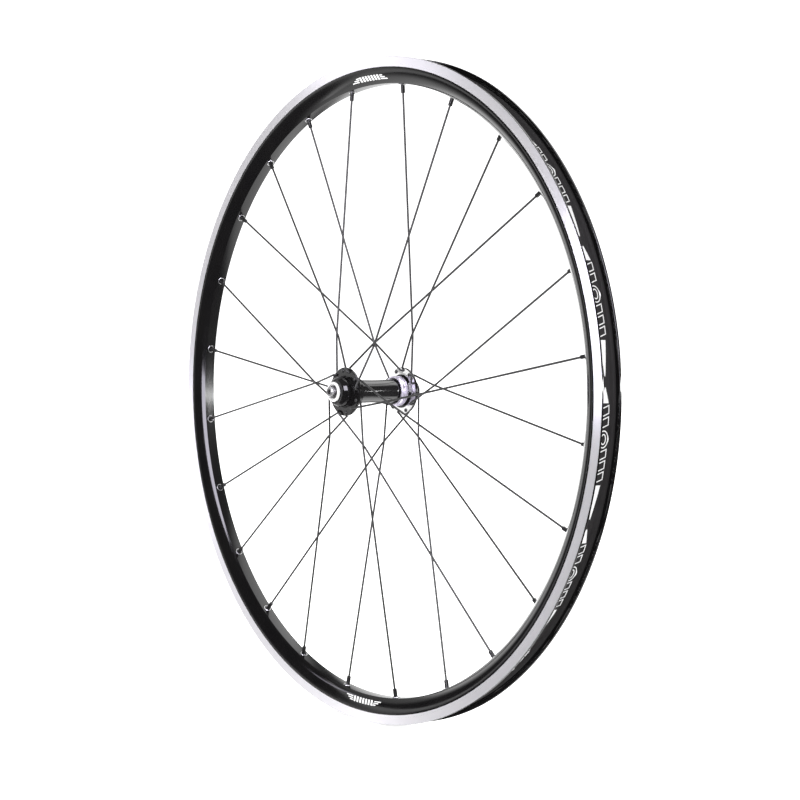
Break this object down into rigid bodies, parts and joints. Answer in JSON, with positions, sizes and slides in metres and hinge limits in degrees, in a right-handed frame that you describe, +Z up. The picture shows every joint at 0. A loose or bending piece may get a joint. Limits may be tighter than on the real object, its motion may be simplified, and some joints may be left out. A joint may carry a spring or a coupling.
{
  "type": "bicycle front wheel",
  "caption": "Road bicycle front wheel: hooked aluminium rim with machined brake tracks, crossed wire spokes and a quick-release hub on sealed bearings.",
  "frame": {"origin": "centre of the wheel, on the axle line and the rim's middle plane", "axes": "+Y along the axle to the bicycle's left side, +Z up, +X the way the bicycle moves"},
  "size_m": [0.6329, 0.108, 0.633],
  "materials": {
    "rim_alloy": "gloss black anodised aluminium with turned silver brake tracks",
    "plain_alloy": "plain extruded aluminium",
    "rim_tape": "black woven nylon tape with a printed white outline pattern",
    "eyelet_metal": "bright plated eyelet",
    "nipple_alloy": "black anodised nipple",
    "spoke_steel": "black stainless steel wire",
    "hub_alloy": "gloss black anodised aluminium",
    "bright_alloy": "polished silver aluminium",
    "seal_rubber": "black rubber seal",
    "bearing_steel": "ground bearing steel",
    "cage_plastic": "moulded nylon cage",
    "axle_alloy": "turned aluminium axle",
    "end_cap_alloy": "turned silver end cap"
  },
  "bodies": {
    "axle": {"axle": "axle_alloy", "right_end_cap": "end_cap_alloy", "left_end_cap": "end_cap_alloy", "right_inner_race": "bearing_steel", "left_inner_race": "bearing_steel"},
    "wheel": {"rim": "rim_alloy", "rim_joint_sleeve": "plain_alloy", "rim_tape": "rim_tape", "eyelets": "eyelet_metal", "nipples": "nipple_alloy", "hub_barrel": "hub_alloy", "right_hub_flange": "hub_alloy", "right_collar_ring": "hub_alloy", "right_dust_cover": "seal_rubber", "right_outer_race": "bearing_steel", "right_bearing_shield": "seal_rubber", "left_hub_flange": "hub_alloy", "left_collar_ring": "bright_alloy", "left_dust_cover": "seal_rubber", "left_outer_race": "bearing_steel", "left_bearing_shield": "seal_rubber", "spoke_01": "spoke_steel", "spoke_02": "spoke_steel", "spoke_03": "spoke_steel", "spoke_04": "spoke_steel", "spoke_05": "spoke_steel", "spoke_06": "spoke_steel", "spoke_07": "spoke_steel", "spoke_08": "spoke_steel", "spoke_09": "spoke_steel", "spoke_10": "spoke_steel", "spoke_11": "spoke_steel", "spoke_12": "spoke_steel", "spoke_13": "spoke_steel", "spoke_14": "spoke_steel", "spoke_15": "spoke_steel", "spoke_16": "spoke_steel", "spoke_17": "spoke_steel", "spoke_18": "spoke_steel", "spoke_19": "spoke_steel", "spoke_20": "spoke_steel", "spoke_21": "spoke_steel", "spoke_22": "spoke_steel", "spoke_23": "spoke_steel", "spoke_24": "spoke_steel"},
    "right_ball_set": {"right_balls": "bearing_steel", "right_ball_cage": "cage_plastic"},
    "left_ball_set": {"left_balls": "bearing_steel", "left_ball_cage": "cage_plastic"}
  },
  "joints": [
    {"name": "wheel_spin", "type": "hinge", "parent": "axle", "child": "wheel", "pos_m": [0, 0, 0], "axis": [0, 1, 0], "continuous": true},
    {"name": "right_ball_set_spin", "type": "hinge", "parent": "axle", "child": "right_ball_set", "pos_m": [0, -0.0425, 0], "axis": [0, 1, 0], "continuous": true},
    {"name": "left_ball_set_spin", "type": "hinge", "parent": "axle", "child": "left_ball_set", "pos_m": [0, 0.0425, 0], "axis": [0, 1, 0], "continuous": true}
  ],
  "couplings": [
    {"joint": "right_ball_set_spin", "follows": "wheel_spin", "ratio": 0.5938},
    {"joint": "left_ball_set_spin", "follows": "wheel_spin", "ratio": 0.5938}
  ]
}
